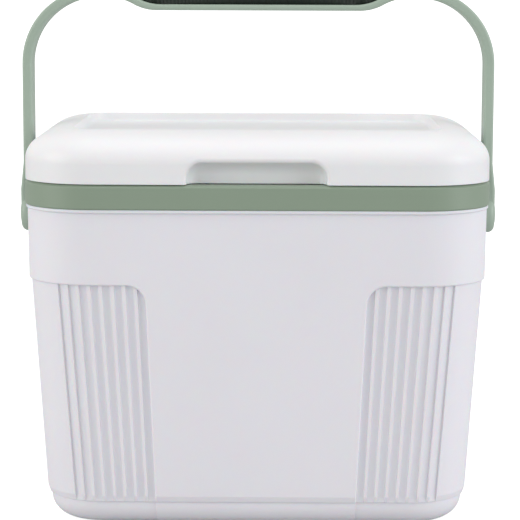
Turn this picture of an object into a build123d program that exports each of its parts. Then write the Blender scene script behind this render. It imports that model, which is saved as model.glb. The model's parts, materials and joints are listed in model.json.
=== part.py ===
from build123d import *
from math import atan2, cos, degrees, hypot, sin
import os

# A cold box for vaccines: a drafted, foam-filled tub with fluted corner panels, a rim band,
# a hinged lid with a plug and a gasket, a swinging bail, and four ice packs round the chamber.
# Millimetres. X is the width, Y the depth (the finger pull faces -Y) and Z is up from the ground.
# The body is drawn about its own centre planes and moved to its place when it is written.

# ---------------------------------------------------------------- driving sizes: levels
foot_height = 2.0
plinth_top = 20.4
skirt_break_top = 24.6
liner_floor = 34.0
panel_drop = 54.0
band_height = 17.5
lid_gap = 0.5
lid_side_height = 14.1
lid_height = 36.3

# ---------------------------------------------------------------- driving sizes: outer shell
body_setback_side = 1.5
body_setback_front = 2.3
body_top_corner = 52.0
base_taper_side = 11.5
base_taper_front = 11.9
body_base_corner = 44.0
collar_side_draft = 0.5
panel_recess_top = 1.8
panel_recess_base = 0.8
skirt_break = 1.5
plinth_step = 1.4
plinth_skirt = 2.0
plinth_roll = 18.0
pad_half_top = 78.5
pad_half_base = 71.9
side_pad_half_top = 35.0
side_pad_half_base = 31.5
pad_corner = 14.0
pad_edge_round = 1.2
shell_wall = 2.6
base_wall = 3.5
neck_inset = 3.2
neck_clearance = 0.2
lip_inset = 0.7
lip_height = 1.8
lip_chamfer = 0.6

# ---------------------------------------------------------------- driving sizes: flutes
flute_count = 8
flute_pitch = 8.3
flute_width = 5.4
flute_depth = 1.6

# ---------------------------------------------------------------- driving sizes: rim band
band_width = 334.0
band_depth = 243.6
band_corner = 52.0
band_flange = 11.0
band_flange_thickness = 2.4
band_bevel = 1.8

# ---------------------------------------------------------------- driving sizes: inner liner
chamber_rim_side = 30.0
chamber_rim_front = 30.8
chamber_corner = 30.0
chamber_draft = 11.2
chamber_floor_round = 3.0
liner_wall = 2.2
liner_flange_thickness = 2.0
flange_clearance = 0.3

# ---------------------------------------------------------------- driving sizes: lid
lid_inset = 0.3
lid_wall = 3.0
shoulder_inset = 32.6
tray_land = 1.9
tray_depth = 6.4
tray_draft = 1.6
tray_rim_round = 0.8
tray_floor_round = 2.5
pull_width = 98.0
pull_height = 15.0
pull_depth = 12.0
pull_corner = 10.5
pull_floor_corner = 8.0
pull_rim_round = 2.8
lid_plate_thickness = 2.0
lid_plate_raise = 1.9
lid_plate_clearance = 0.2
plug_clearance = 2.0
plug_depth = 22.0
plug_draft = 2.6
plug_wall = 2.0
gasket_offset = 5.5
gasket_width = 6.0
gasket_gap = 0.3
gasket_round = 1.0

# ---------------------------------------------------------------- driving sizes: bail and pivots
pivot_drop = 15.0
bail_clearance = 1.5
bail_thickness = 7.2
bail_bend_radius = 56.0
bail_rise = 168.0
bail_arm_width = 22.0
boss_radius = 14.0
boss_thickness = 9.5
boss_flare_top = 38.5
boss_flare_bottom = 18.5
boss_neck_width = 17.0
boss_rim_round = 4.5
grip_half_width = 13.0
grip_shoulder = 9.4
grip_run = 34.5
grip_dip = 9.1
tray_shoulder = 7.4
tray_run = 40.0
tray_dip = 11.9
bail_edge_round = 2.0
insert_end_gap = 15.4
insert_half_width = 11.0
insert_crown = 3.0
insert_edge_round = 6.0
pin_radius = 6.0
pin_clearance = 0.05
pin_head_radius = 7.6
pin_head_thickness = 2.2
pin_tip_chamfer = 1.0
pin_reach = 15.0
bush_wall = 3.0
bush_flange_radius = 12.0
bush_flange_thickness = 1.2
bush_end = 2.0
washer_radius = 11.0
washer_gap = 0.05
cap_thickness = 1.6
cap_clearance = 0.1
cap_dome = 0.5

# ---------------------------------------------------------------- driving sizes: lid hinges
hinge_axis_behind = 2.2
hinge_axis_above = 2.0
hinge_spacing = 170.0
knuckle_radius = 4.2
knuckle_room = 0.5
hinge_pin_radius = 2.0
hinge_width = 44.0
hinge_middle = 18.0
hinge_side_gap = 0.3
leaf_thickness = 2.2
leaf_height = 13.0
screw_offset = 15.0
screw_radius = 1.5
screw_head_radius = 2.8
screw_head_height = 1.4
screw_reach = 2.0

# ---------------------------------------------------------------- driving sizes: inside and underneath
pack_height = 190.0
pack_width = 120.0
pack_thickness = 34.0
pack_corner = 10.0
pack_round = 8.0
pack_headroom = 6.4
pack_wall_gap = 0.3
pack_dimple = 3.0
pack_dimple_levels = (0.28, 0.6)
pack_dimple_width_share = 0.62
pack_dimple_height_share = 0.2
pack_dimple_corner_share = 0.05
pack_notch_width = 34.0
pack_notch_height = 22.0
pack_notch_corner = 4.0
pack_neck_radius = 8.5
pack_cap_radius = 12.0
pack_cap_height = 12.0
pack_cap_seat = 1.0
pack_cap_notches = 12
foot_radius = 11.0
foot_edge = 0.7
foot_inset = 17.7
foot_pocket = 1.5
foot_clearance = 0.1

# ---------------------------------------------------------------- drawing aids
# How far a cutter runs past the face that it opens.
cut_over = 5.0
# How near to an outline an edge must lie to count as on it.
edge_search = 0.4
# Cylinders and boxes that stand on a level, rather than being centred on it.
standing = (Align.CENTER, Align.CENTER, Align.MIN)
quarter_turn = 90

# ---------------------------------------------------------------- worked-out levels and sections
# The ice packs stand on the liner's floor and the plug hangs over them, which sets the rim's height.
plug_bottom = liner_floor + pack_height + pack_headroom
lid_bottom = plug_bottom + plug_depth - lid_plate_raise
band_top = lid_bottom - lid_gap
band_bottom = band_top - band_height
neck_top = band_top - band_flange_thickness
ledge = band_bottom - panel_drop
lid_spring = lid_bottom + lid_side_height
lid_top = lid_bottom + lid_height
pivot_z = band_bottom - pivot_drop
bail_bend_top = pivot_z + bail_rise

# A section is (half width, half depth, corner radius).
band_section = (band_width / 2, band_depth / 2, band_corner)
body_top = (band_width / 2 - body_setback_side, band_depth / 2 - body_setback_front, body_top_corner)
body_base = (body_top[0] - base_taper_side, body_top[1] - base_taper_front, body_base_corner)
chamber_top = (band_width / 2 - chamber_rim_side, band_depth / 2 - chamber_rim_front, chamber_corner)

hinge_y = band_depth / 2 + hinge_axis_behind
hinge_z = band_top + hinge_axis_above
# The hinge knuckles stand behind the body, so the middle of the whole object lies behind the body's.
centre_shift = (hinge_y + knuckle_radius - band_depth / 2) / 2


def inset(section, amount):
    """Move a section's outline inwards by an amount."""
    return tuple(size - amount for size in section)


def between(low, high, share):
    """Mix two sections."""
    return tuple(a + (b - a) * share for a, b in zip(low, high))


def at_height(levels, z):
    """Find the section of a ruled form at a height."""
    for (z_low, low), (z_high, high) in zip(levels, levels[1:]):
        if z <= z_high:
            return between(low, high, (z - z_low) / (z_high - z_low))
    return levels[-1][1]


def outline(section, z):
    """Draw a section as a rounded rectangle at a height."""
    half_x, half_y, radius = section
    return Plane.XY.offset(z) * RectangleRounded(2 * half_x, 2 * half_y, radius)


def form(levels):
    """Join sections, given from the lowest up, by straight walls."""
    return loft([outline(section, z) for z, section in levels], ruled=True)


def prism(section, z_low, z_high):
    """Stand a section up as a straight wall."""
    return extrude(outline(section, z_low), amount=z_high - z_low)


def ring(outer, inner, z_low, z_high):
    """Make a straight rim between two sections."""
    return prism(outer, z_low, z_high) - prism(inner, z_low, z_high)


def narrowing(half_top, half_base, z):
    """Half width, at a height, of a pad that narrows evenly from the ledge down to the plinth."""
    return half_base + (half_top - half_base) * (z - plinth_top) / (ledge - plinth_top)


def across_cylinder(radius, x_low, x_high, y, z):
    """Round bar along X."""
    return Pos(x_low, y, z) * (Rot(0, 90, 0) * Cylinder(radius, x_high - x_low, align=standing))


def along_cylinder(radius, y_low, y_high, x, z):
    """Round bar along Y."""
    return Pos(x, y_low, z) * (Rot(-90, 0, 0) * Cylinder(radius, y_high - y_low, align=standing))


# ---------------------------------------------------------------- outer shell
def proud_levels():
    """Levels of the proud faces: upright collar sides, an even draft below and a broken lower edge."""
    share = panel_drop / (band_bottom - skirt_break_top)
    half_x, half_y, radius = between(body_top, body_base, share)
    collar = (body_top[0] - collar_side_draft, half_y, radius)
    edge = inset(body_base, skirt_break)
    return [(plinth_top, edge), (skirt_break_top, body_base), (ledge, collar), (band_bottom, body_top)]


def panel_levels():
    """Levels of the recessed corner panels, with the same broken lower edge."""
    top = inset(at_height(proud_levels(), ledge), panel_recess_top)
    low = inset(body_base, panel_recess_base)
    return [(plinth_top, inset(low, skirt_break)), (skirt_break_top, low), (ledge, top)]


def plinth(section):
    """Make the plinth below a section: a short upright skirt that rolls under to the flat base."""
    upside_down = domed(section, -plinth_top, plinth_skirt - plinth_top, -foot_height, plinth_roll)
    return upside_down.mirror(Plane.XY)


def windows(plane, half_top, half_base, reach):
    """Cut-out on both sides of a pad that narrows downwards, seen along one axis."""
    corners = [(half_top, ledge), (reach, ledge), (reach, 0), (narrowing(half_top, half_base, 0), 0)]
    window = make_face(Polyline(*corners, close=True))
    window = fillet(window.vertices().group_by(Axis.Y)[-1].sort_by(Axis.X)[0], pad_corner)
    block = extrude(plane * window, amount=reach, both=True)
    return block + block.mirror(Plane.YZ if plane == Plane.XZ else Plane.XZ)


def panel_blocks():
    """The four corner regions that the recessed panels take from the proud faces."""
    reach = band_width
    across = windows(Plane.XZ, pad_half_top, pad_half_base, reach)
    along = windows(Plane.YZ, side_pad_half_top, side_pad_half_base, reach)
    return across & along


def place_on_outline(section, distance):
    """Point and outward direction on an outline, a distance along it from the middle of the front."""
    half_x, half_y, radius = section
    straight = half_x - radius
    if distance <= straight:
        return (distance, -half_y), (0.0, -1.0)
    turn = (distance - straight) / radius
    outward = (sin(turn), -cos(turn))
    return (straight + radius * outward[0], radius - half_y + radius * outward[1]), outward


def flute_profile(section, distance, z):
    """Round-bottomed cross-section of a flute's cutter."""
    (x, y), outward = place_on_outline(section, distance)
    half = flute_width / 2
    hollow = ThreePointArc((-half, 0), (0, -flute_depth), (half, 0))
    mouth = Polyline((half, 0), (half, flute_depth), (-half, flute_depth), (-half, 0))
    along = (-outward[1], outward[0])
    return Plane(origin=(x, y, z), x_dir=(*along, 0), z_dir=(0, 0, 1)) * make_face(hollow + mouth)


def flutes():
    """Cutters for the upright flutes, which lean with the draft and run out over the broken edge."""
    (_, _), (_, low), (_, top) = panel_levels()
    cutters = []
    for index in range(flute_count):
        share = (pad_half_top + flute_width / 2 + index * flute_pitch) / pad_half_top
        profiles = [
            flute_profile(section, share * narrowing(pad_half_top, pad_half_base, z), z)
            for z, section in ((ledge, top), (skirt_break_top, low), (plinth_top, low))
        ]
        cutters.append(loft(profiles, ruled=True))
    cutters += [cutter.mirror(Plane.YZ) for cutter in cutters]
    cutters += [cutter.mirror(Plane.XZ) for cutter in cutters]
    return cutters


def shell_cavity():
    """The space inside the outer shell, which the foam fills."""
    panel = panel_levels()
    wall = flute_depth + shell_wall
    neck = inset(neck_section(), shell_wall)
    base = inset(panel[0][1], wall + plinth_roll / 2)
    return form(
        [
            (foot_height + base_wall, base),
            (plinth_top, inset(panel[0][1], wall)),
            (skirt_break_top, inset(panel[1][1], wall)),
            (ledge, inset(panel[2][1], wall)),
            (band_bottom - lip_height, neck),
            (neck_top, neck),
        ]
    )


def neck_section():
    """The stub inside the rim band."""
    return inset(band_section, neck_inset)


def pivot_hole(radius, x_low, x_high):
    """A round cutter on the bail's axis, on both sides of the body."""
    hole = across_cylinder(radius, x_low, x_high, 0, pivot_z)
    return hole + hole.mirror(Plane.YZ)


def foot_places():
    """Centres of the four feet."""
    low = inset(body_base, skirt_break + plinth_step + plinth_roll + foot_inset)
    return [(side_x * low[0], side_y * low[1]) for side_x in (-1, 1) for side_y in (-1, 1)]


def off_outline(section, x, y):
    """Distance of a point outside an outline."""
    half_x, half_y, radius = section
    past_x = abs(x) - (half_x - radius)
    past_y = abs(y) - (half_y - radius)
    if past_x > 0 and past_y > 0:
        return hypot(past_x, past_y) - radius
    return max(past_x, past_y) - radius


def rims_panel(edge):
    """Tell whether an edge of the proud wall borders a corner panel."""
    middle = edge @ 0.5
    if not plinth_top + pad_edge_round < middle.Z < ledge + pad_edge_round:
        return False
    if abs(middle.X) < pad_half_base or abs(middle.Y) < side_pad_half_base:
        return False
    section = at_height(proud_levels(), min(middle.Z, ledge))
    return abs(off_outline(section, middle.X, middle.Y)) < edge_search


def proud_wall():
    """The collar and the four pads that stand proud of the corner panels, with soft edges."""
    wall = form(proud_levels()) - panel_blocks()
    return fillet(wall.edges().filter_by(rims_panel), pad_edge_round)


def outer_shell():
    """Drafted tub with proud pads, a collar, fluted corner panels, a stepped plinth and a neck."""
    proud = proud_wall() + (plinth(inset(body_base, skirt_break + plinth_step)) - panel_blocks())
    panel = panel_levels()
    recessed = form(panel) - flutes() + plinth(inset(panel[0][1], plinth_step))
    lip = inset(band_section, lip_inset)
    rim = form(
        [
            (band_bottom - lip_height - lip_chamfer, inset(lip, lip_chamfer)),
            (band_bottom - lip_height, lip),
            (band_bottom, lip),
        ]
    )
    shell = proud + recessed + rim + prism(neck_section(), band_bottom, neck_top) - shell_cavity()
    shell -= pivot_hole(bush_bore() + bush_wall, body_top[0] - pin_reach, body_top[0] + cut_over)
    for x, y in foot_places():
        shell -= Pos(x, y, foot_height) * Cylinder(foot_radius + foot_clearance, 2 * foot_pocket)
    return shell


def base_feet():
    """Four rubber feet, pressed into pockets under the plinth."""
    disc = Cylinder(foot_radius, foot_height + foot_pocket, align=standing)
    disc = chamfer(disc.edges().group_by(Axis.Z)[0], foot_edge)
    return [Pos(x, y, 0) * disc for x, y in foot_places()]


# ---------------------------------------------------------------- insulation and liner
def chamber_section(z):
    """Inside of the liner at a height."""
    share = (neck_top - z) / (neck_top - liner_floor)
    half_x, half_y, radius = chamber_top
    drop = chamber_draft * share
    return (half_x - drop, half_y - drop, radius - drop)


def tub(grow, z_low, z_high):
    """The chamber's form, grown outwards."""
    return form([(z, inset(chamber_section(z), -grow)) for z in (z_low, z_high)])


def wall_foam():
    """Rigid foam between the shell and the liner."""
    foam = shell_cavity() - tub(liner_wall, liner_floor - liner_wall, neck_top)
    return foam - pivot_hole(bush_bore() + bush_wall, body_top[0] - pin_reach - bush_end, body_top[0])


def inner_liner():
    """Tub that lines the chamber, with a flange that rests on the foam inside the rim band."""
    flange_outer = inset(band_section, band_flange + flange_clearance)
    flange_top = neck_top + liner_flange_thickness
    liner = tub(liner_wall, liner_floor - liner_wall, neck_top) + prism(flange_outer, neck_top, flange_top)
    chamber = tub(0, liner_floor, flange_top)
    return liner - fillet(chamber.edges().group_by(Axis.Z)[0], chamber_floor_round)


def rim_band():
    """Band that caps the shell's neck: a skirt outside and a flat flange on top."""
    top = inset(band_section, band_bevel)
    skirt = form(
        [
            (band_bottom, inset(band_section, band_bevel / 2)),
            (band_bottom + band_bevel / 2, band_section),
            (band_top - band_bevel, band_section),
            (band_top, top),
        ]
    )
    skirt -= prism(inset(neck_section(), -neck_clearance), band_bottom, neck_top)
    skirt -= prism(inset(band_section, band_flange), neck_top, band_top)
    return skirt - hinge_grooves() - screw_holes(screw_level_body(), band_depth / 2)


# ---------------------------------------------------------------- lid
def domed(section, z_low, z_spring, z_top, shoulder):
    """Slab with upright sides and an elliptical shoulder swept round its outline."""
    core = inset(section, shoulder)
    path = outline(core, z_low).wire()
    along = path % 0
    outward = along.cross(Vector(0, 0, 1))
    if outward.dot(path @ 0) < 0:
        outward = -outward
    up_plane = Plane(origin=path @ 0, x_dir=outward, z_dir=outward.cross(Vector(0, 0, 1)))
    side = Polyline((0, z_top - z_low), (0, 0), (shoulder, 0), (shoulder, z_spring - z_low))
    dome = EllipticalCenterArc((0, z_spring - z_low), shoulder, z_top - z_spring, start_angle=0, arc_size=quarter_turn)
    profile = up_plane * make_face(side + dome)
    return sweep(profile, path=path) + prism(core, z_low, z_top)


def lid_section():
    """Outline of the lid's upright sides."""
    return inset(band_section, lid_inset)


def tray_section():
    """Outline of the shallow tray in the lid's top."""
    return inset(lid_section(), shoulder_inset + tray_land)


def lid_cavity_top():
    """Level of the lid's inside, under the tray's floor."""
    return lid_top - tray_depth - lid_wall


def lid_cavity(z_low):
    """The space inside the lid's shell, which the foam fills."""
    spring = lid_spring - lid_wall
    return domed(inset(lid_section(), lid_wall), z_low, spring, lid_cavity_top(), shoulder_inset - lid_wall)


def pull_pocket(grow):
    """The finger pull's pocket in the lid's front, grown by a wall."""
    half = pull_width / 2 + grow
    top = pull_height + grow
    front = Pos(0, top / 2) * Rectangle(2 * half, top)
    front = fillet(front.vertices().group_by(Axis.Y)[-1], pull_corner + grow)
    depth = pull_depth + grow
    inner_plane = Plane(origin=(0, depth - lid_section()[1], lid_bottom), x_dir=(1, 0, 0), z_dir=(0, -1, 0))
    pocket = extrude(inner_plane * front, amount=depth + cut_over)
    floor_edges = pocket.edges().group_by(Axis.Y)[-1].sort_by(Axis.Z)
    return fillet(floor_edges[1:], pull_floor_corner + grow)


def tray_pocket():
    """The tray's hollow, with drafted walls and a rounded floor edge."""
    floor = inset(tray_section(), tray_draft)
    pocket = form([(lid_top - tray_depth, floor), (lid_top, tray_section())])
    return fillet(pocket.edges().group_by(Axis.Z)[0], tray_floor_round)


def rims_tray(edge):
    """Tell whether an edge of the lid's top borders the tray."""
    middle = edge @ 0.5
    return abs(off_outline(tray_section(), middle.X, middle.Y)) < edge_search


def rims_pull(edge):
    """Tell whether an edge of the lid's front borders the finger pull."""
    middle = edge @ 0.5
    in_front = middle.Y < pull_rim_round - lid_section()[1]
    return in_front and abs(middle.X) < pull_width / 2 + edge_search and middle.Z > lid_bottom + edge_search


def lid_shell():
    """White outer lid: crowned shoulders, a shallow tray on top and a finger pull in front."""
    body = domed(lid_section(), lid_bottom, lid_spring, lid_top, shoulder_inset)
    body -= tray_pocket()
    body = fillet(body.edges().group_by(Axis.Z)[-1].filter_by(rims_tray), tray_rim_round)
    body -= pull_pocket(0)
    body = fillet(body.edges().filter_by(rims_pull), pull_rim_round)
    body -= lid_cavity(lid_bottom) - pull_pocket(lid_wall)
    return body - hinge_grooves() - screw_holes(screw_level_lid(), lid_section()[1])


def plug_form(shrink, z_low, z_high):
    """The plug that fills the mouth of the chamber, shrunk by a wall."""
    top = inset(chamber_section(neck_top), plug_clearance + shrink)
    low = inset(top, plug_draft)
    levels = [(plug_bottom, low), (lid_plate_bottom(), top)]
    if z_low > plug_bottom:
        levels[0] = (z_low, at_height(levels, z_low))
    levels[-1] = (z_high, top)
    return form(levels)


def lid_plate_bottom():
    """Underside of the lid's inner plate."""
    return lid_bottom + lid_plate_raise


def lid_liner():
    """Inner lid: a plate that closes the shell and a hollow plug."""
    plate_top = lid_plate_bottom() + lid_plate_thickness
    plate = prism(inset(lid_section(), lid_wall + lid_plate_clearance), lid_plate_bottom(), plate_top)
    plate -= pull_pocket(lid_wall + lid_plate_clearance)
    plug = plug_form(0, plug_bottom, lid_plate_bottom())
    hollow = plug_form(plug_wall, plug_bottom + plug_wall, plate_top)
    return plate + plug - hollow


def lid_foam():
    """Rigid foam that fills the lid and its plug."""
    plate_top = lid_plate_bottom() + lid_plate_thickness
    foam = lid_cavity(plate_top) - pull_pocket(lid_wall)
    return foam + plug_form(plug_wall, plug_bottom + plug_wall, plate_top)


def lid_gasket():
    """Soft ring under the lid, which closes on the liner's flange."""
    inner = inset(chamber_top, -gasket_offset)
    outer = inset(inner, -gasket_width)
    low = neck_top + liner_flange_thickness + gasket_gap
    gasket = ring(outer, inner, low, lid_plate_bottom())
    return fillet(gasket.edges().group_by(Axis.Z)[0], gasket_round)


# ---------------------------------------------------------------- lid hinges
def hinge_centres():
    """Places of the two hinges across the back."""
    return {"left": -hinge_spacing / 2, "right": hinge_spacing / 2}


def hinge_grooves():
    """Room for the hinge knuckles in the back of the band and the lid."""
    half = hinge_width / 2 + knuckle_room
    radius = knuckle_radius + knuckle_room
    return [across_cylinder(radius, x - half, x + half, hinge_y, hinge_z) for x in hinge_centres().values()]


def screw_level_body():
    """Height of the screws in the lower leaves."""
    return hinge_z - knuckle_radius - knuckle_room - leaf_height / 2


def screw_level_lid():
    """Height of the screws in the upper leaves."""
    return hinge_z + knuckle_radius + knuckle_room + leaf_height / 2


def screw_places(z):
    """Centres of the screws of both hinges at one level."""
    return [(x + side * screw_offset, z) for x in hinge_centres().values() for side in (-1, 1)]


def screw_holes(z, face_y):
    """Holes for the hinge screws."""
    radius = screw_radius + pin_clearance
    low, high = face_y - screw_reach, face_y + cut_over
    return [along_cylinder(radius, low, high, x, place_z) for x, place_z in screw_places(z)]


def hinge_leaf(x, face_y, z_low, z_high, knuckles):
    """Flat leaf on a wall, with round knuckles on the hinge axis."""
    on_wall = (Align.CENTER, Align.MIN, Align.MIN)
    plate = Pos(x, face_y, z_low) * Box(hinge_width, leaf_thickness, z_high - z_low, align=on_wall)
    below_axis = z_high < hinge_z
    corners = plate.edges().filter_by(Axis.Y).group_by(Axis.Z)
    leaf = fillet(corners[0] if below_axis else corners[-1], leaf_thickness)
    near_z = z_high if below_axis else z_low
    for start, end in knuckles:
        web = Box(end - start, leaf_thickness, abs(hinge_z - near_z), align=on_wall)
        leaf += Pos(x + (start + end) / 2, face_y, min(near_z, hinge_z)) * web
        leaf += across_cylinder(knuckle_radius, x + start, x + end, hinge_y, hinge_z)
    bore = hinge_pin_radius + pin_clearance
    leaf -= across_cylinder(bore, x - hinge_width, x + hinge_width, hinge_y, hinge_z)
    low, high = face_y - cut_over, face_y + leaf_thickness + cut_over
    for screw_x in (x - screw_offset, x + screw_offset):
        leaf -= along_cylinder(screw_radius + pin_clearance, low, high, screw_x, (z_low + z_high) / 2)
    return leaf


def body_hinge(x):
    """Leaf on the back of the rim band, with the two outer knuckles."""
    top = hinge_z - knuckle_radius - knuckle_room
    inner = hinge_middle / 2 + hinge_side_gap
    knuckles = [(-hinge_width / 2, -inner), (inner, hinge_width / 2)]
    return hinge_leaf(x, band_depth / 2, top - leaf_height, top, knuckles)


def lid_hinge(x):
    """Leaf on the back of the lid, with the middle knuckle."""
    low = hinge_z + knuckle_radius + knuckle_room
    return hinge_leaf(x, lid_section()[1], low, low + leaf_height, [(-hinge_middle / 2, hinge_middle / 2)])


def hinge_pin(x):
    """Plain steel pin through the three knuckles."""
    half = hinge_width / 2
    return across_cylinder(hinge_pin_radius, x - half, x + half, hinge_y, hinge_z)


def hinge_screws(z, face_y):
    """Pan-head screws that hold one row of leaves."""
    screws = []
    for x, place_z in screw_places(z):
        shank = along_cylinder(screw_radius, face_y - screw_reach, face_y + leaf_thickness, x, place_z)
        head_low = face_y + leaf_thickness
        head = along_cylinder(screw_head_radius, head_low, head_low + screw_head_height, x, place_z)
        head = chamfer(head.edges().group_by(Axis.Y)[-1], screw_head_height / 2)
        screws.append(shank + head)
    return screws


# ---------------------------------------------------------------- bail
def bail_inner_face():
    """Distance from the middle to the inner faces of the bail's arms."""
    return band_width / 2 - lid_inset + bail_clearance


def bail_bend_start():
    """Distance from the middle to where the bail's top begins to bend down."""
    return bail_inner_face() + bail_thickness - bail_bend_radius


def s_curve(start, run, rise):
    """Two equal arcs that climb smoothly from one level to another."""
    turn = 2 * atan2(rise, run)
    radius = run / (2 * sin(turn))
    first = JernArc(start, (1, 0), radius, degrees(turn))
    second = JernArc(first @ 1, (cos(turn), sin(turn)), radius, -degrees(turn))
    return first + second


def bail_front():
    """Front view of the bail down to its pivots: upright arms, round bends and a dipped grip."""
    inner = bail_inner_face()
    outer = inner + bail_thickness
    boss_outer = inner + boss_thickness
    bend_z = bail_bend_top - bail_bend_radius
    bend_x = bail_bend_start()
    tray_half = bend_x - tray_shoulder - tray_run
    grip_flat_half = bend_x - grip_shoulder - grip_run
    inner_radius = bail_bend_radius - bail_thickness
    inner_top = bail_bend_top - bail_thickness
    tray_z = bail_bend_top - tray_dip
    grip_z = inner_top - grip_dip
    upper = s_curve((tray_half, tray_z), tray_run, tray_dip)
    lower = s_curve((grip_flat_half, grip_z), grip_run, grip_dip)
    edges = [
        Line((0, grip_z), (0, tray_z)),
        Line((0, tray_z), (tray_half, tray_z)),
        upper,
        Line((tray_half + tray_run, bail_bend_top), (bend_x, bail_bend_top)),
        CenterArc((bend_x, bend_z), bail_bend_radius, 90, -90),
        Polyline(
            (outer, bend_z),
            (outer, pivot_z + boss_flare_top),
            (boss_outer, pivot_z + boss_flare_bottom),
            (boss_outer, pivot_z),
            (inner, pivot_z),
            (inner, bend_z),
        ),
        CenterArc((bend_x, bend_z), inner_radius, 0, 90),
        Line((bend_x, inner_top), (grip_flat_half + grip_run, inner_top)),
        lower,
        Line((grip_flat_half, grip_z), (0, grip_z)),
    ]
    half = make_face(Curve() + edges)
    return half + half.mirror(Plane.YZ)


def bail_side():
    """Side view of the bail down to its pivots: arms that narrow towards the bosses, and a wider grip."""
    arm = bail_arm_width / 2
    waist_z = pivot_z + boss_flare_top
    bend_z = bail_bend_top - bail_bend_radius
    grip_z = bail_bend_top - bail_thickness - grip_dip
    half = [
        (boss_neck_width / 2, pivot_z),
        (arm, waist_z),
        (arm, bend_z),
        (grip_half_width, grip_z),
        (grip_half_width, bail_bend_top + bail_thickness),
    ]
    corners = half + [(-y, z) for y, z in reversed(half)]
    return make_face(Polyline(*corners, close=True))


def bail_block():
    """The arms and the grip before their edges are rounded."""
    front = extrude(Plane.XZ * bail_front(), amount=boss_radius, both=True)
    side = extrude(Plane.YZ * bail_side(), amount=band_width, both=True)
    return front & side


def bail_boss():
    """Round end of the right-hand arm, well rounded at its outer rim."""
    low = bail_inner_face()
    disc = across_cylinder(boss_radius, low, low + boss_thickness, 0, pivot_z)
    return fillet(disc.edges().group_by(Axis.X)[-1], boss_rim_round)


def counterbore_floor():
    """Distance from the middle to the seat of the pivot pin's head."""
    return bail_inner_face() + boss_thickness - cap_thickness - pin_head_thickness - 2 * washer_gap


def handle_bail():
    """One-piece bail with a boss at each end, bored for the pivot pins."""
    bail = bail_block()
    rounded = bail.edges().filter_by(lambda edge: edge.center().Z > pivot_z + edge_search)
    rounded = rounded.filter_by(lambda edge: abs(edge.center().Y) > boss_neck_width / 2 - edge_search)
    bail = fillet(rounded, bail_edge_round) + bail_boss() + bail_boss().mirror(Plane.YZ)
    outside = bail_inner_face() + boss_thickness + cut_over
    bail -= pivot_hole(bush_bore(), bail_inner_face() - cut_over, outside)
    return bail - pivot_hole(pin_head_radius + cap_clearance, counterbore_floor(), outside)


def grip_insert():
    """Soft grip that fills the dip of the bail: a round-shouldered strip swept along a shallow crown."""
    crown_z = bail_bend_top + insert_crown
    half_length = bail_bend_start() - insert_end_gap
    crown = ThreePointArc((-half_length, 0, bail_bend_top), (0, 0, crown_z), (half_length, 0, bail_bend_top))
    height = crown_z - (bail_bend_top - bail_thickness - grip_dip)
    end = Rectangle(2 * insert_half_width, height, align=(Align.CENTER, Align.MAX))
    end = fillet(end.vertices().group_by(Axis.Y)[-1], insert_edge_round)
    up_plane = Plane(origin=crown @ 0, x_dir=(0, 1, 0), z_dir=crown % 0)
    strip = sweep(up_plane * end, path=crown)
    bail = extrude(Plane.XZ * bail_front(), amount=boss_radius, both=True)
    return (strip - bail).solids().sort_by(Axis.Z)[-1]


def bush_bore():
    """Radius of the holes that turn on the pivot pins."""
    return pin_radius + pin_clearance


def sided(solid, side):
    """Keep a right-hand solid, or mirror it to the left."""
    return solid if side == "right" else solid.mirror(Plane.YZ)


def pivot_bush(side):
    """Blind flanged bush in the collar, which takes the pivot pin."""
    face = body_top[0]
    outer = bush_bore() + bush_wall
    bush = across_cylinder(outer - pin_clearance, face - pin_reach, face, 0, pivot_z)
    bush += across_cylinder(bush_flange_radius, face, face + bush_flange_thickness, 0, pivot_z)
    bore = across_cylinder(bush_bore(), face - pin_reach + bush_end, face + bush_flange_thickness, 0, pivot_z)
    return sided(bush - bore, side)


def pivot_washer(side):
    """Thin washer between the bush and the bail's boss."""
    low = body_top[0] + bush_flange_thickness + washer_gap
    high = bail_inner_face()
    washer = across_cylinder(washer_radius, low, high, 0, pivot_z)
    return sided(washer - across_cylinder(bush_bore(), low, high, 0, pivot_z), side)


def pivot_pin(side):
    """Headed pin that the bail turns on."""
    tip = body_top[0] - pin_reach + bush_end + 2 * washer_gap
    seat = counterbore_floor() + washer_gap
    shank = across_cylinder(pin_radius, tip, seat, 0, pivot_z)
    shank = chamfer(shank.edges().group_by(Axis.X)[0], pin_tip_chamfer)
    return sided(shank + across_cylinder(pin_head_radius, seat, seat + pin_head_thickness, 0, pivot_z), side)


def pivot_cap(side):
    """Button that snaps into the boss over the pin's head."""
    high = bail_inner_face() + boss_thickness
    low = high - cap_thickness
    cap = across_cylinder(pin_head_radius + cap_clearance, low, high + cap_dome, 0, pivot_z)
    return sided(chamfer(cap.edges().group_by(Axis.X)[-1], cap_dome), side)


# ---------------------------------------------------------------- ice packs
def pack_neck_x():
    """Distance of the pack's neck from its middle."""
    return (pack_width - pack_notch_width) / 2


def pack_front():
    """Front view of an ice pack: a slab with round corners, one of them notched for the neck."""
    half = pack_width / 2
    notch_x = half - pack_notch_width
    notch_z = pack_height - pack_notch_height
    corners = [(-half, 0), (half, 0), (half, notch_z), (notch_x, notch_z), (notch_x, pack_height), (-half, pack_height)]
    front = make_face(Polyline(*corners, close=True))
    near_notch = front.vertices().sort_by_distance((notch_x, notch_z))
    front = fillet(near_notch[1:], pack_corner)
    return fillet(front.vertices().sort_by_distance((notch_x, notch_z))[0], pack_notch_corner)


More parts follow.
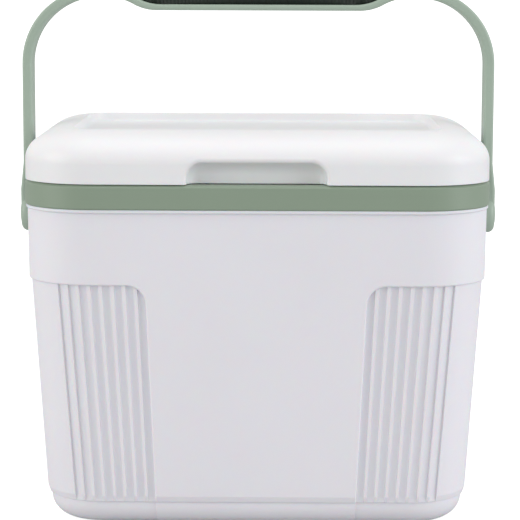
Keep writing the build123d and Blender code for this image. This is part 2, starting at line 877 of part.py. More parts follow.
def ice_pack():
    """Upright water pack about the origin, with soft edges, dimpled faces and a neck in its notch."""
    pack = extrude(Plane.XZ * pack_front(), amount=pack_thickness / 2, both=True)
    pack = fillet(pack.faces().filter_by(Axis.Y).edges(), pack_round)
    window = RectangleRounded(
        pack_width * pack_dimple_width_share,
        pack_height * pack_dimple_height_share,
        pack_height * pack_dimple_corner_share,
    )
    face_plane = Plane(origin=(0, -pack_thickness / 2, 0), x_dir=(1, 0, 0), z_dir=(0, -1, 0))
    for share in pack_dimple_levels:
        dimple = extrude(face_plane * Pos(0, share * pack_height) * window, amount=-pack_dimple)
        pack = pack - dimple - dimple.mirror(Plane.XZ)
    neck = Cylinder(pack_neck_radius, pack_cap_height, align=standing)
    return pack + Pos(pack_neck_x(), 0, pack_height - pack_notch_height) * neck


def ice_pack_cap():
    """Screw cap over the pack's neck, with a notched edge."""
    low = pack_height - pack_notch_height + pack_cap_seat
    height = pack_height - pack_wall_gap - low
    cap = Cylinder(pack_cap_radius, height, align=standing)
    cap = chamfer(cap.edges().group_by(Axis.Z)[-1], pack_cap_seat)
    notch = Cylinder(pack_cap_seat, height, align=standing)
    cap -= [place * notch for place in PolarLocations(pack_cap_radius, pack_cap_notches)]
    cap -= Cylinder(pack_neck_radius + pin_clearance, pack_cap_height - pack_cap_seat, align=standing)
    return Pos(pack_neck_x(), 0, low) * cap


def pack_places():
    """Where each ice pack stands on the chamber's floor, and how it is turned."""
    half_x, half_y, _ = chamber_section(liner_floor)
    off_x = half_x - pack_wall_gap - pack_thickness / 2
    off_y = half_y - pack_wall_gap - pack_thickness / 2
    return {
        "front": Pos(0, -off_y, liner_floor),
        "right": Pos(off_x, 0, liner_floor) * Rot(0, 0, 90),
        "back": Pos(0, off_y, liner_floor) * Rot(0, 0, 180),
        "left": Pos(-off_x, 0, liner_floor) * Rot(0, 0, 270),
    }


# ---------------------------------------------------------------- all pieces
def pieces():
    """Every node's solid or group of solids."""
    nodes = {
        "outer_shell": outer_shell(),
        "base_feet": base_feet(),
        "wall_foam": wall_foam(),
        "inner_liner": inner_liner(),
        "rim_band": rim_band(),
        "lid_shell": lid_shell(),
        "lid_foam": lid_foam(),
        "lid_liner": lid_liner(),
        "lid_gasket": lid_gasket(),
        "handle_bail": handle_bail(),
        "grip_insert": grip_insert(),
        "hinge_screws_body": hinge_screws(screw_level_body(), band_depth / 2),
        "hinge_screws_lid": hinge_screws(screw_level_lid(), lid_section()[1]),
    }
    for side, x in hinge_centres().items():
        nodes[f"body_hinge_{side}"] = body_hinge(x)
        nodes[f"lid_hinge_{side}"] = lid_hinge(x)
        nodes[f"hinge_pin_{side}"] = hinge_pin(x)
        nodes[f"pivot_bush_{side}"] = pivot_bush(side)
        nodes[f"pivot_washer_{side}"] = pivot_washer(side)
        nodes[f"pivot_pin_{side}"] = pivot_pin(side)
        nodes[f"pivot_cap_{side}"] = pivot_cap(side)
    for name, place in pack_places().items():
        nodes[f"ice_pack_{name}"] = place * ice_pack()
    nodes["ice_pack_caps"] = [place * ice_pack_cap() for place in pack_places().values()]
    return nodes


def write_all():
    """Write one STEP file for each node, moved so that the origin is under the object's middle."""
    os.makedirs("parts", exist_ok=True)
    to_origin = Pos(0, -centre_shift, 0)
    for name, solid in pieces().items():
        group = solid if isinstance(solid, list) else [solid]
        placed = [to_origin * one for one in group]
        export_step(Compound(placed) if len(placed) > 1 else placed[0], f"parts/{name}.step")


write_all()
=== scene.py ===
import json
import logging
from dataclasses import dataclass
from enum import Enum
from math import cos, radians, sin

import bmesh
import bpy
from mathutils import Matrix, Vector


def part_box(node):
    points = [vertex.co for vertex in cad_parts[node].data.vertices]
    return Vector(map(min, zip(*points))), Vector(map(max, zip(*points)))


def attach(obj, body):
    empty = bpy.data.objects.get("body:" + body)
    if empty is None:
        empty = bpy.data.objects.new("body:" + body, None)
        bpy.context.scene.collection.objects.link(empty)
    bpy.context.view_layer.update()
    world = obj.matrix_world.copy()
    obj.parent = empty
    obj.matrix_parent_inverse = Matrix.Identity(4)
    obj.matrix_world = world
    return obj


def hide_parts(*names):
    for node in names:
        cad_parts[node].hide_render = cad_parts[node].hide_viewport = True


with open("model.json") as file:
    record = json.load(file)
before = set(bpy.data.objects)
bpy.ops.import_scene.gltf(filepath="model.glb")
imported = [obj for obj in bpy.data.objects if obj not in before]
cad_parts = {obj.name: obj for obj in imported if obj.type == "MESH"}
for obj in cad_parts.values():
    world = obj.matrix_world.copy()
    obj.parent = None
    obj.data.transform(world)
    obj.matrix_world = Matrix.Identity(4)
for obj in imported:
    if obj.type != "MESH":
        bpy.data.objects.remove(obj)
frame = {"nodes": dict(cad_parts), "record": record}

log = logging.getLogger("vaccine_carrier")

Colour = tuple[float, float, float]
Place = tuple[float, float, float]
Socket = bpy.types.NodeSocket

FLOAT = "NodeSocketFloat"
VECTOR = "NodeSocketVector"
COLOUR = "NodeSocketColor"
WHITE = (1.0, 1.0, 1.0, 1.0)


# ---------------------------------------------------------------- small helpers
def linear(colour: Colour) -> tuple[float, float, float, float]:
    """Turn a display colour into the renderer's linear one.

    Args:
        colour: red, green and blue as a screen shows them, from 0 to 1.

    Returns:
        Linear red, green and blue, and an alpha of 1.
    """
    channels = [c / 12.92 if c <= 0.04045 else ((c + 0.055) / 1.055) ** 2.4 for c in colour]
    return (*channels, 1.0)


def mesh_object(name: str, mesh: bmesh.types.BMesh, body: str, smooth: bool = True) -> bpy.types.Object:
    """Make a finished mesh an object that rides on a body.

    Args:
        name: the piece's name.
        mesh: its mesh, in place in the row frame. It is freed.
        body: the body that carries it.
        smooth: whether its faces are shaded smooth.

    Returns:
        The new object.
    """
    bmesh.ops.recalc_face_normals(mesh, faces=mesh.faces)
    data = bpy.data.meshes.new(name)
    for face in mesh.faces:
        face.smooth = smooth
    mesh.to_mesh(data)
    mesh.free()
    piece = bpy.data.objects.new(name, data)
    bpy.context.scene.collection.objects.link(piece)
    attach(piece, body)
    log.info("made %s: %d faces on body %s", name, len(data.polygons), body)
    return piece


def dress(piece: bpy.types.Object, material: bpy.types.Material) -> None:
    """Give a piece one material in place of what it had."""
    piece.data.materials.clear()
    piece.data.materials.append(material)


def cad(name: str) -> bpy.types.Object:
    """The CAD node of this name."""
    return frame["nodes"][name]


# ---------------------------------------------------------------- shared effects
@dataclass(frozen=True)
class EffectSocket:
    """One named input or output of a shared effect."""

    name: str
    kind: str
    default: float | None = None


class Effect:
    """A shader node group that several finishes use, built once."""

    name = "effect"
    inputs: tuple[EffectSocket, ...] = ()
    outputs: tuple[EffectSocket, ...] = ()

    def tree(self) -> bpy.types.NodeTree:
        """Find the group, or build it.

        Returns:
            The group's node tree.
        """
        found = bpy.data.node_groups.get(self.name)
        if found:
            return found
        group = bpy.data.node_groups.new(self.name, "ShaderNodeTree")
        for socket in self.inputs:
            made = group.interface.new_socket(socket.name, in_out="INPUT", socket_type=socket.kind)
            if socket.default is not None:
                made.default_value = socket.default
        for socket in self.outputs:
            group.interface.new_socket(socket.name, in_out="OUTPUT", socket_type=socket.kind)
        self.wire(group, group.nodes.new("NodeGroupInput"), group.nodes.new("NodeGroupOutput"))
        return group

    def wire(self, group: bpy.types.NodeTree, given: bpy.types.Node, out: bpy.types.Node) -> None:
        """Add the effect's nodes between its inputs and outputs.

        Args:
            group: the effect's node tree.
            given: the node that gives the effect's inputs.
            out: the node that takes its outputs.
        """
        raise NotImplementedError

    def place(self, tree: bpy.types.NodeTree, **values: float) -> bpy.types.Node:
        """Put the effect into a material.

        Args:
            tree: the material's node tree.
            **values: values of the effect's inputs, by name.

        Returns:
            The group node.
        """
        node = tree.nodes.new("ShaderNodeGroup")
        node.node_tree = self.tree()
        for name, value in values.items():
            node.inputs[name.replace("_", " ").capitalize()].default_value = value
        return node


def feed(tree: bpy.types.NodeTree, socket: Socket, value: Socket | float) -> None:
    """Link a socket into an input, or set the input to a plain number.

    Args:
        tree: the node tree.
        socket: the input.
        value: what goes into it.
    """
    if isinstance(value, bpy.types.NodeSocket):
        tree.links.new(value, socket)
    else:
        socket.default_value = value


def math_node(tree: bpy.types.NodeTree, operation: str, *values: Socket | float) -> Socket:
    """Join values by one arithmetic operation.

    Args:
        tree: the node tree.
        operation: the Math node's operation.
        *values: sockets or plain numbers.

    Returns:
        The result's socket.
    """
    node = tree.nodes.new("ShaderNodeMath")
    node.operation = operation
    for socket, value in zip(node.inputs, values):
        feed(tree, socket, value)
    return node.outputs[0]


def remap(tree: bpy.types.NodeTree, value: Socket, low: Socket | float, high: Socket | float) -> Socket:
    """Stretch a 0 to 1 value smoothly between two levels.

    Args:
        tree: the node tree.
        value: the value's socket.
        low: result at 0.
        high: result at 1.

    Returns:
        The result's socket.
    """
    node = tree.nodes.new("ShaderNodeMapRange")
    node.interpolation_type = "SMOOTHSTEP"
    feed(tree, node.inputs["Value"], value)
    feed(tree, node.inputs["To Min"], low)
    feed(tree, node.inputs["To Max"], high)
    return node.outputs["Result"]


def noise(tree: bpy.types.NodeTree, place: Socket, scale: Socket | float, detail: float = 2.0) -> Socket:
    """Noise over the object's own coordinates.

    Args:
        tree: the node tree.
        place: the coordinates.
        scale: blobs per metre.
        detail: octaves.

    Returns:
        The noise value's socket.
    """
    node = tree.nodes.new("ShaderNodeTexNoise")
    feed(tree, node.inputs["Detail"], detail)
    feed(tree, node.inputs["Vector"], place)
    feed(tree, node.inputs["Scale"], scale)
    return node.outputs["Fac"]


def bumped(tree: bpy.types.NodeTree, height: Socket, depth: float, normal: Socket | None = None) -> Socket:
    """Raise a surface by a height.

    Args:
        tree: the node tree.
        height: the height, from 0 to 1.
        depth: metres that a height of 1 stands for.
        normal: the normal to start from, or the surface's own.

    Returns:
        The bumped normal's socket.
    """
    node = tree.nodes.new("ShaderNodeBump")
    feed(tree, node.inputs["Distance"], depth)
    feed(tree, node.inputs["Height"], height)
    if normal is not None:
        feed(tree, node.inputs["Normal"], normal)
    return node.outputs["Normal"]


def object_place(tree: bpy.types.NodeTree) -> Socket:
    """The object's own coordinates, in metres."""
    return tree.nodes.new("ShaderNodeTexCoord").outputs["Object"]


class MouldGrain(Effect):
    """Spark-eroded grain of a mould: a fine bumpy height, with broad flat patches where it is worn."""

    name = "mould grain"
    inputs = (EffectSocket("Scale", FLOAT, 1500.0), EffectSocket("Worn", FLOAT, 0.3))
    outputs = (EffectSocket("Height", FLOAT),)
    fine_scale = 2.7
    fine_share = 0.4
    worn_scale = 14.0

    def wire(self, group: bpy.types.NodeTree, given: bpy.types.Node, out: bpy.types.Node) -> None:
        """Mix coarse and fine noise and fade it where a slow noise is high.

        Args:
            group: the effect's node tree.
            given: the node that gives the effect's inputs.
            out: the node that takes its outputs.
        """
        place = object_place(group)
        coarse = noise(group, place, given.outputs["Scale"], 3.0)
        finer = math_node(group, "MULTIPLY", given.outputs["Scale"], self.fine_scale)
        fine = math_node(group, "MULTIPLY", noise(group, place, finer, 1.0), self.fine_share)
        grain = math_node(group, "ADD", fine, coarse)
        least = math_node(group, "SUBTRACT", 1.0, given.outputs["Worn"])
        worn = remap(group, noise(group, place, self.worn_scale), 1.0, least)
        group.links.new(math_node(group, "MULTIPLY", grain, worn), out.inputs["Height"])


class SoftEdge(Effect):
    """Small rounding of sharp edges, as a normal, and a mask of those edges."""

    name = "soft edge"
    inputs = (EffectSocket("Radius", FLOAT, 0.0006),)
    outputs = (EffectSocket("Normal", VECTOR), EffectSocket("Mask", FLOAT))
    samples = 6
    strength = 5.0

    def wire(self, group: bpy.types.NodeTree, given: bpy.types.Node, out: bpy.types.Node) -> None:
        """Compare the rounded normal with the surface's own.

        Args:
            group: the effect's node tree.
            given: the node that gives the effect's inputs.
            out: the node that takes its outputs.
        """
        bevel = group.nodes.new("ShaderNodeBevel")
        bevel.samples = self.samples
        group.links.new(given.outputs["Radius"], bevel.inputs["Radius"])
        surface = group.nodes.new("ShaderNodeNewGeometry")
        dot = group.nodes.new("ShaderNodeVectorMath")
        dot.operation = "DOT_PRODUCT"
        group.links.new(bevel.outputs["Normal"], dot.inputs[0])
        group.links.new(surface.outputs["Normal"], dot.inputs[1])
        turned = math_node(group, "SUBTRACT", 1.0, dot.outputs["Value"])
        sharp = math_node(group, "MULTIPLY", turned, self.strength)
        group.links.new(remap(group, sharp, 0.0, 1.0), out.inputs["Mask"])
        group.links.new(bevel.outputs["Normal"], out.inputs["Normal"])


class Handling(Effect):
    """Slow colour drift of moulded plastic, fine rub marks and dulled patches."""

    name = "handling"
    inputs = (
        EffectSocket("Colour", COLOUR),
        EffectSocket("Drift", FLOAT, 0.03),
        EffectSocket("Roughness", FLOAT, 0.4),
        EffectSocket("Spread", FLOAT, 0.08),
    )
    outputs = (EffectSocket("Colour", COLOUR), EffectSocket("Roughness", FLOAT))
    drift_scale = 9.0
    rub_scale = 420.0
    rub_stretch = (1.0, 1.0, 0.06)
    rub_turn = (0.3, 0.5, 0.0)
    rub_share = 0.4
    patch_scale = 26.0

    def wire(self, group: bpy.types.NodeTree, given: bpy.types.Node, out: bpy.types.Node) -> None:
        """Vary the colour's value slowly and its roughness by patches and rub marks.

        Args:
            group: the effect's node tree.
            given: the node that gives the effect's inputs.
            out: the node that takes its outputs.
        """
        place = object_place(group)
        slow = math_node(group, "SUBTRACT", noise(group, place, self.drift_scale), 0.5)
        drift = math_node(group, "MULTIPLY", slow, given.outputs["Drift"])
        shade = group.nodes.new("ShaderNodeHueSaturation")
        group.links.new(given.outputs["Colour"], shade.inputs["Color"])
        group.links.new(math_node(group, "ADD", 1.0, drift), shade.inputs["Value"])
        group.links.new(shade.outputs["Color"], out.inputs["Colour"])
        stretch = group.nodes.new("ShaderNodeMapping")
        stretch.inputs["Scale"].default_value = self.rub_stretch
        stretch.inputs["Rotation"].default_value = self.rub_turn
        group.links.new(place, stretch.inputs["Vector"])
        rubs = noise(group, stretch.outputs["Vector"], self.rub_scale, 4.0)
        patches = noise(group, place, self.patch_scale, 3.0)
        rubbed = math_node(group, "MULTIPLY", rubs, self.rub_share)
        patched = math_node(group, "MULTIPLY", patches, 1 - self.rub_share)
        mixed = math_node(group, "SUBTRACT", math_node(group, "ADD", rubbed, patched), 0.5)
        swing = math_node(group, "MULTIPLY", mixed, given.outputs["Spread"])
        group.links.new(math_node(group, "ADD", given.outputs["Roughness"], swing), out.inputs["Roughness"])


# ---------------------------------------------------------------- finishes
class Finish:
    """A procedural material whose colour and roughness vary by handling."""

    name: str
    colour: Colour
    roughness: float
    drift: float
    spread: float

    def begin(self) -> tuple[bpy.types.Material, bpy.types.NodeTree, bpy.types.Node]:
        """Start the material with its handled roughness.

        Returns:
            The material, its node tree and its handling node.
        """
        made = bpy.data.materials.new(self.name)
        made.use_nodes = True
        tree = made.node_tree
        handling = Handling().place(tree, drift=self.drift, roughness=self.roughness, spread=self.spread)
        handling.inputs["Colour"].default_value = linear(self.colour)
        tree.links.new(handling.outputs["Roughness"], self.shader(made).inputs["Roughness"])
        return made, tree, handling

    def shader(self, made: bpy.types.Material) -> bpy.types.Node:
        """The material's Principled node."""
        return made.node_tree.nodes["Principled BSDF"]

    def close(self, made: bpy.types.Material, colour: Socket, normal: Socket) -> bpy.types.Material:
        """Join what varies over the surface to the shader.

        Args:
            made: the material.
            colour: the base colour's socket.
            normal: the normal's socket.

        Returns:
            The same material.
        """
        made.node_tree.links.new(colour, self.shader(made).inputs["Base Color"])
        made.node_tree.links.new(normal, self.shader(made).inputs["Normal"])
        return made


@dataclass(frozen=True)
class MouldedPlastic(Finish):
    """Injection-moulded plastic with a fine grain, softened edges and light handling."""

    name: str
    colour: Colour
    roughness: float = 0.42
    drift: float = 0.05
    spread: float = 0.12
    grain_scale: float = 1600.0
    grain_depth: float = 0.00003
    worn: float = 0.4
    edge_radius: float = 0.0006
    edge_lift: float = 0.25
    edge_gain: float = 1.06
    edge_pale: float = 0.03
    scatter: float = 0.0
    scatter_radius: float = 0.004

    def edge_colour(self) -> Colour:
        """The paler colour of rubbed edges."""
        return tuple(min(1.0, c * self.edge_gain + self.edge_pale) for c in self.colour)

    def material(self) -> bpy.types.Material:
        """Build the finish.

        Returns:
            The material.
        """
        made, tree, handling = self.begin()
        edge = SoftEdge().place(tree, radius=self.edge_radius)
        lifted = tree.nodes.new("ShaderNodeMix")
        lifted.data_type = "RGBA"
        lifted.inputs["B"].default_value = linear(self.edge_colour())
        lift = math_node(tree, "MULTIPLY", edge.outputs["Mask"], self.edge_lift)
        tree.links.new(lift, lifted.inputs["Factor"])
        tree.links.new(handling.outputs["Colour"], lifted.inputs["A"])
        grain = MouldGrain().place(tree, scale=self.grain_scale, worn=self.worn)
        normal = bumped(tree, grain.outputs["Height"], self.grain_depth, edge.outputs["Normal"])
        shader = self.shader(made)
        shader.inputs["Subsurface Weight"].default_value = self.scatter
        shader.inputs["Subsurface Scale"].default_value = self.scatter_radius
        return self.close(made, lifted.outputs["Result"], normal)


@dataclass(frozen=True)
class RigidFoam(Finish):
    """Cut rigid foam with open cells."""

    name: str
    colour: Colour
    roughness: float = 0.9
    drift: float = 0.2
    spread: float = 0.1
    cell_scale: float = 700.0
    cell_depth: float = 0.0004

    def material(self) -> bpy.types.Material:
        """Build the finish.

        Returns:
            The material.
        """
        made, tree, handling = self.begin()
        cells = tree.nodes.new("ShaderNodeTexVoronoi")
        feed(tree, cells.inputs["Scale"], self.cell_scale)
        feed(tree, cells.inputs["Vector"], object_place(tree))
        normal = bumped(tree, cells.outputs["Distance"], self.cell_depth)
        return self.close(made, handling.outputs["Colour"], normal)


@dataclass(frozen=True)
class BrightSteel(Finish):
    """Bright steel with a very fine surface texture and softened edges."""

    name: str
    colour: Colour = (0.78, 0.78, 0.77)
    roughness: float = 0.28
    drift: float = 0.1
    spread: float = 0.3
    edge_radius: float = 0.0003
    texture_scale: float = 3000.0
    texture_depth: float = 0.00001

    def material(self) -> bpy.types.Material:
        """Build the finish.

        Returns:
            The material.
        """
        made, tree, handling = self.begin()
        self.shader(made).inputs["Metallic"].default_value = 1.0
        edge = SoftEdge().place(tree, radius=self.edge_radius)
        texture = noise(tree, object_place(tree), self.texture_scale)
        normal = bumped(tree, texture, self.texture_depth, edge.outputs["Normal"])
        return self.close(made, handling.outputs["Colour"], normal)


class Finishes(Enum):
    """Every finish of the carrier, by the material slot that it belongs to."""

    shell_white = MouldedPlastic(
        "shell white", (0.935, 0.929, 0.952), roughness=0.5, grain_depth=0.00005, scatter=0.25
    )
    lid_white = MouldedPlastic(
        "lid white", (0.945, 0.943, 0.95), roughness=0.36, grain_depth=0.000015, scatter=0.2
    )
    band_sage = MouldedPlastic("band sage", (0.55, 0.615, 0.54), roughness=0.4)
    bail_sage = MouldedPlastic("bail sage", (0.64, 0.705, 0.645), roughness=0.4)
    grip_green = MouldedPlastic("grip green", (0.04, 0.10, 0.06), roughness=0.55, grain_depth=0.00006)
    liner_white = MouldedPlastic(
        "liner white", (0.94, 0.94, 0.935), roughness=0.3, grain_depth=0.00001, scatter=0.08
    )
    foam = RigidFoam("rigid foam", (0.93, 0.90, 0.78))
    gasket_grey = MouldedPlastic("gasket grey", (0.55, 0.56, 0.56), roughness=0.6, grain_depth=0.00003)
    foot_rubber = MouldedPlastic("foot rubber", (0.16, 0.17, 0.17), roughness=0.75, grain_depth=0.00008)
    steel = BrightSteel("bright steel")
    pivot_plastic = MouldedPlastic("pivot plastic", (0.80, 0.81, 0.81), roughness=0.35)
    pack_plastic = MouldedPlastic(
        "pack plastic", (0.84, 0.91, 0.95), roughness=0.38, scatter=0.5, scatter_radius=0.01
    )
    cap_blue = MouldedPlastic("cap blue", (0.16, 0.40, 0.68), roughness=0.38)

    def material(self) -> bpy.types.Material:
        """The finish's material, built on first use.

        Returns:
            The material.
        """
        return bpy.data.materials.get(self.value.name) or self.value.material()


# ---------------------------------------------------------------- the carrier
@dataclass
class CadSkins:
    """Finishes of the CAD nodes, which keep their shape."""

    finishes: dict[str, Finishes]

    def build(self) -> None:
        """Dress every node."""
        for name, finish in self.finishes.items():
            dress(cad(name), finish.material())
            log.info("dressed %s in %s", name, finish.value.name)


@dataclass
class SoftGrip:
    """Soft insert of the grip, with shallow grooves across its crown."""

    node: str = "grip_insert"
    body: str = "handle"
    pitch: float = 0.0054
    groove: float = 0.0022
    depth: float = 0.0007
    plain_end: float = 0.018
    merge: float = 0.000001
    least_rise: float = -0.2
    cuts: tuple[float, ...] = (-0.5, -0.25, 0.25, 0.5)

    def centres(self) -> list[float]:
        """Places of the grooves along the grip.

        Returns:
            X of each groove's middle line.
        """
        low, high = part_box(self.node)
        run = high.x - low.x - 2 * self.plain_end
        count = int(run / self.pitch)
        first = (low.x + high.x - (count - 1) * self.pitch) / 2
        return [first + index * self.pitch for index in range(count)]

    def cut(self, mesh: bmesh.types.BMesh, x: float) -> None:
        """Cut the surface all round at one place along the grip."""
        everything = mesh.verts[:] + mesh.edges[:] + mesh.faces[:]
        bmesh.ops.bisect_plane(mesh, geom=everything, plane_co=(x, 0, 0), plane_no=(1, 0, 0))

    def sink(self, mesh: bmesh.types.BMesh, x: float) -> None:
        """Press the strip round one groove's middle into the crown and the sides.

        Args:
            mesh: the cut insert.
            x: the groove's middle line.
        """
        mesh.normal_update()
        reach = min(abs(share) for share in self.cuts) * self.groove + self.merge
        for vertex in [v for v in mesh.verts if abs(v.co.x - x) < reach and v.normal.z > self.least_rise]:
            vertex.co -= self.depth * vertex.normal

    def build(self) -> bpy.types.Object:
        """Groove a copy of the insert.

        Returns:
            The piece.
        """
        mesh = bmesh.new()
        mesh.from_mesh(cad(self.node).data)
        bmesh.ops.remove_doubles(mesh, verts=mesh.verts, dist=self.merge)
        for x in self.centres():
            for share in self.cuts:
                self.cut(mesh, x + share * self.groove)
        for x in self.centres():
            self.sink(mesh, x)
        piece = mesh_object("grip_grooved", mesh, self.body)
        dress(piece, Finishes.grip_green.material())
        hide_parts(self.node)
        return piece


@dataclass
class PanScrews:
    """A row of pan-head screws with cross recesses, facing backwards."""

    node: str
    body: str
    places: tuple[float, ...] = (-0.1, -0.07, 0.07, 0.1)
    segments: int = 48
    top_share: float = 0.62
    head_height: float = 0.0014
    shank_radius: float = 0.0015
    crown_steps: int = 5
    arm_share: float = 0.5
    arm_half: float = 0.0004
    recess_depth: float = 0.0009
    recess_taper: float = 0.7
    turn_step: float = 25.0

    def cross(self, vertex: bmesh.types.BMVert) -> None:
        """Move a point of the recess's rim onto a cross.

        Args:
            vertex: the point, which keeps its direction from the screw's axis.
        """
        around = vertex.co.to_2d()
        turn = around.angle_signed(Vector((1.0, 0.0))) % radians(90)
        off_axis = min(turn, radians(90) - turn)
        length = around.length
        if sin(off_axis) * length > self.arm_half:
            length = self.arm_half / sin(off_axis)
        vertex.co.xy = around.normalized() * length

    def recess(self, mesh: bmesh.types.BMesh, top: bmesh.types.BMFace, radius: float) -> None:
        """Sink a cross into the head's top face.

        Args:
            mesh: the screw.
            top: its top face.
            radius: the head's radius.
        """
        bmesh.ops.inset_region(mesh, faces=[top], thickness=radius * self.top_share * (1 - self.arm_share))
        for vertex in top.verts:
            self.cross(vertex)
        sunk = bmesh.ops.extrude_face_region(mesh, geom=[top])
        low = [item for item in sunk["geom"] if isinstance(item, bmesh.types.BMVert)]
        bmesh.ops.delete(mesh, geom=[top], context="FACES_ONLY")
        bmesh.ops.scale(mesh, verts=low, vec=(self.recess_taper, self.recess_taper, 1.0))
        bmesh.ops.translate(mesh, verts=low, vec=(0, 0, -self.recess_depth))

    def outline(self, radius: float, reach: float) -> list[tuple[float, float]]:
        """Rings of the screw below its flat top.

        Args:
            radius: the head's radius.
            reach: length of the shank below the head.

        Returns:
            Radius and level of each ring, from the top down.
        """
        flat = radius * self.top_share
        turns = [radians(90 * step / self.crown_steps) for step in range(1, self.crown_steps + 1)]
        crown = [(flat + (radius - flat) * sin(turn), self.head_height * cos(turn)) for turn in turns]
        return crown + [(self.shank_radius, 0.0), (self.shank_radius, -reach)]

    def screw(self, radius: float, reach: float) -> bmesh.types.BMesh:
        """Make one screw, with its head's underside at zero and its axis along Z.

        Args:
            radius: the head's radius.
            reach: length of the shank below the head.

        Returns:
            The screw's mesh.
        """
        mesh = bmesh.new()
        across, level = radius * self.top_share, self.head_height
        made = bmesh.ops.create_circle(mesh, cap_ends=True, segments=self.segments, radius=across)
        bmesh.ops.translate(mesh, verts=made["verts"], vec=(0, 0, level))
        rim = mesh.edges[:]
        for ring_radius, z in self.outline(radius, reach):
            grown = bmesh.ops.extrude_edge_only(mesh, edges=rim)["geom"]
            ring = [item for item in grown if isinstance(item, bmesh.types.BMVert)]
            rim = [item for item in grown if isinstance(item, bmesh.types.BMEdge)]
            bmesh.ops.scale(mesh, verts=ring, vec=(ring_radius / across, ring_radius / across, 1.0))
            bmesh.ops.translate(mesh, verts=ring, vec=(0, 0, z - level))
            across, level = ring_radius, z
        bmesh.ops.contextual_create(mesh, geom=rim)
        self.recess(mesh, max(mesh.faces, key=lambda face: face.calc_center_median().z), radius)
        return mesh

    def build(self) -> bpy.types.Object:
        """Set the screws into the hinge leaves.

        Returns:
            The piece.
        """
        low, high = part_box(self.node)
        radius = (high.z - low.z) / 2
        single = self.screw(radius, high.y - low.y - self.head_height)
        data = bpy.data.meshes.new("screw")
        single.to_mesh(data)
        single.free()
        row = bmesh.new()
        for index, x in enumerate(self.places):
            before = len(row.verts)
            row.from_mesh(data)
            row.verts.ensure_lookup_table()
            seat = Matrix.Translation((x, high.y - self.head_height, (low.z + high.z) / 2))
            backwards = Matrix.Rotation(radians(-90), 4, "X")
            driven = Matrix.Rotation(radians(self.turn_step * index), 4, "Z")
            bmesh.ops.transform(row, matrix=seat @ backwards @ driven, verts=row.verts[before:])
        bpy.data.meshes.remove(data)
        piece = mesh_object(f"{self.node}_cross", row, self.body, smooth=False)
        dress(piece, Finishes.steel.material())
        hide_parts(self.node)
        return piece


# ---------------------------------------------------------------- studio
@dataclass
class SoftBox:
    """One large soft light, aimed at a point."""

    name: str
    place: Place
    size: float
    power: float
    tint: Colour = (1.0, 1.0, 1.0)
    aim: Place = (0.0, 0.0, 0.2)

    def build(self) -> None:
        """Hang the light."""
        lamp = bpy.data.lights.new(self.name, "AREA")
        lamp.shape = "SQUARE"
        lamp.size = self.size
        lamp.energy = self.power
        lamp.color = self.tint
        holder = bpy.data.objects.new(self.name, lamp)
        holder.location = self.place
        toward = Vector(self.aim) - Vector(self.place)
        holder.rotation_euler = toward.to_track_quat("-Z", "Y").to_euler()
        bpy.context.scene.collection.objects.link(holder)


@dataclass
class StudioFloor:
    """Round pale floor that looks white and throws back less light than it shows."""

    radius: float = 30.0
    segments: int = 96
    shade: float = 0.55
    roughness: float = 0.9
    glow: float = 0.85

    def build(self) -> None:
        """Lay the floor under the feet."""
        mesh = bmesh.new()
        bmesh.ops.create_circle(mesh, cap_ends=True, segments=self.segments, radius=self.radius)
        data = bpy.data.meshes.new("floor")
        mesh.to_mesh(data)
        mesh.free()
        floor = bpy.data.objects.new("floor", data)
        bpy.context.scene.collection.objects.link(floor)
        data.materials.append(self.material())

    def material(self) -> bpy.types.Material:
        """A matt material that glows for the camera alone.

        Returns:
            The material.
        """
        made = bpy.data.materials.new("studio floor")
        made.use_nodes = True
        tree = made.node_tree
        shader = tree.nodes["Principled BSDF"]
        shader.inputs["Base Color"].default_value = (self.shade, self.shade, self.shade, 1.0)
        shader.inputs["Roughness"].default_value = self.roughness
        shader.inputs["Emission Color"].default_value = WHITE
        ray = tree.nodes.new("ShaderNodeLightPath")
        seen = math_node(tree, "MULTIPLY", ray.outputs["Is Camera Ray"], self.glow)
        tree.links.new(seen, shader.inputs["Emission Strength"])
        return made


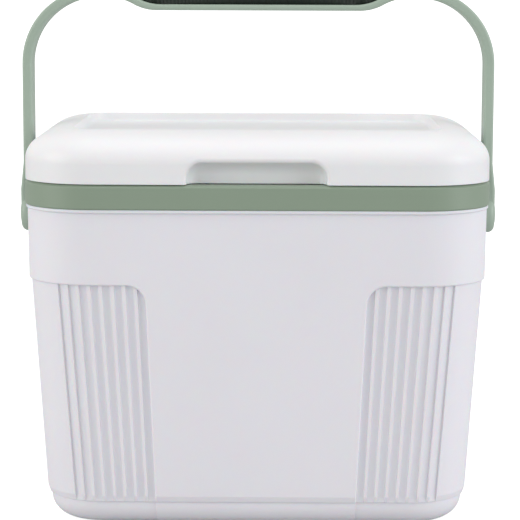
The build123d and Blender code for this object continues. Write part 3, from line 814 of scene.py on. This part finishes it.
@dataclass
class Studio:
    """Pale floor, soft lights and the camera."""

    lights: tuple[SoftBox, ...] = (
        SoftBox("key", (2.75, -1.15, 1.0), 1.8, 33.0, (0.96, 0.965, 1.0)),
        SoftBox("fill", (-2.75, -1.15, 1.0), 1.8, 29.0, (1.0, 0.985, 0.965)),
        SoftBox("top", (0.0, -0.2, 2.4), 1.8, 10.0),
    )
    camera_place: Place = (0.0129, -1.5884, 0.3985)
    lens: float = 146.32
    sensor: float = 36.0
    pitch: float = 7.797
    yaw: float = 0.404
    roll: float = 0.193
    world_light: float = 0.68
    background: float = 1.0

    def world(self) -> None:
        """Light the scene evenly, and show white behind it."""
        world = bpy.data.worlds.new("studio")
        world.use_nodes = True
        bpy.context.scene.world = world
        tree = world.node_tree
        backdrop = tree.nodes["Background"]
        backdrop.inputs["Color"].default_value = WHITE
        ray = tree.nodes.new("ShaderNodeLightPath")
        strength = remap(tree, ray.outputs["Is Camera Ray"], self.world_light, self.background)
        tree.links.new(strength, backdrop.inputs["Strength"])

    def camera(self) -> None:
        """Set the camera."""
        pitch, yaw, roll = radians(self.pitch), radians(self.yaw), radians(self.roll)
        forward = Vector((-sin(yaw) * cos(pitch), cos(yaw) * cos(pitch), -sin(pitch)))
        right = Vector((cos(yaw), sin(yaw), 0.0))
        up = right.cross(forward)
        right, up = cos(roll) * right + sin(roll) * up, cos(roll) * up - sin(roll) * right
        turned = Matrix((right, up, -forward)).transposed().to_4x4()
        data = bpy.data.cameras.new("camera")
        data.sensor_width = self.sensor
        data.lens = self.lens
        holder = bpy.data.objects.new("camera", data)
        holder.matrix_world = Matrix.Translation(self.camera_place) @ turned
        bpy.context.scene.collection.objects.link(holder)
        bpy.context.scene.camera = holder

    def build(self) -> None:
        """Set up the whole studio."""
        bpy.context.scene.view_settings.view_transform = "Standard"
        StudioFloor().build()
        self.world()
        for light in self.lights:
            light.build()
        self.camera()
        log.info("studio ready")


def node_finishes() -> dict[str, Finishes]:
    """The finish that each CAD node wears.

    Returns:
        Finish by node name, from the record's material slots.
    """
    return {part["node"]: Finishes[part["material_slot"]] for part in frame["record"]["subparts"]}


def main() -> None:
    """Build the carrier's looks and the studio."""
    logging.basicConfig(level=logging.INFO, format="%(name)s: %(message)s")
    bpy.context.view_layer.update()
    CadSkins(node_finishes()).build()
    SoftGrip().build()
    PanScrews("hinge_screws_body", "box").build()
    PanScrews("hinge_screws_lid", "lid").build()
    Studio().build()


if __name__ == "__main__":
    main()
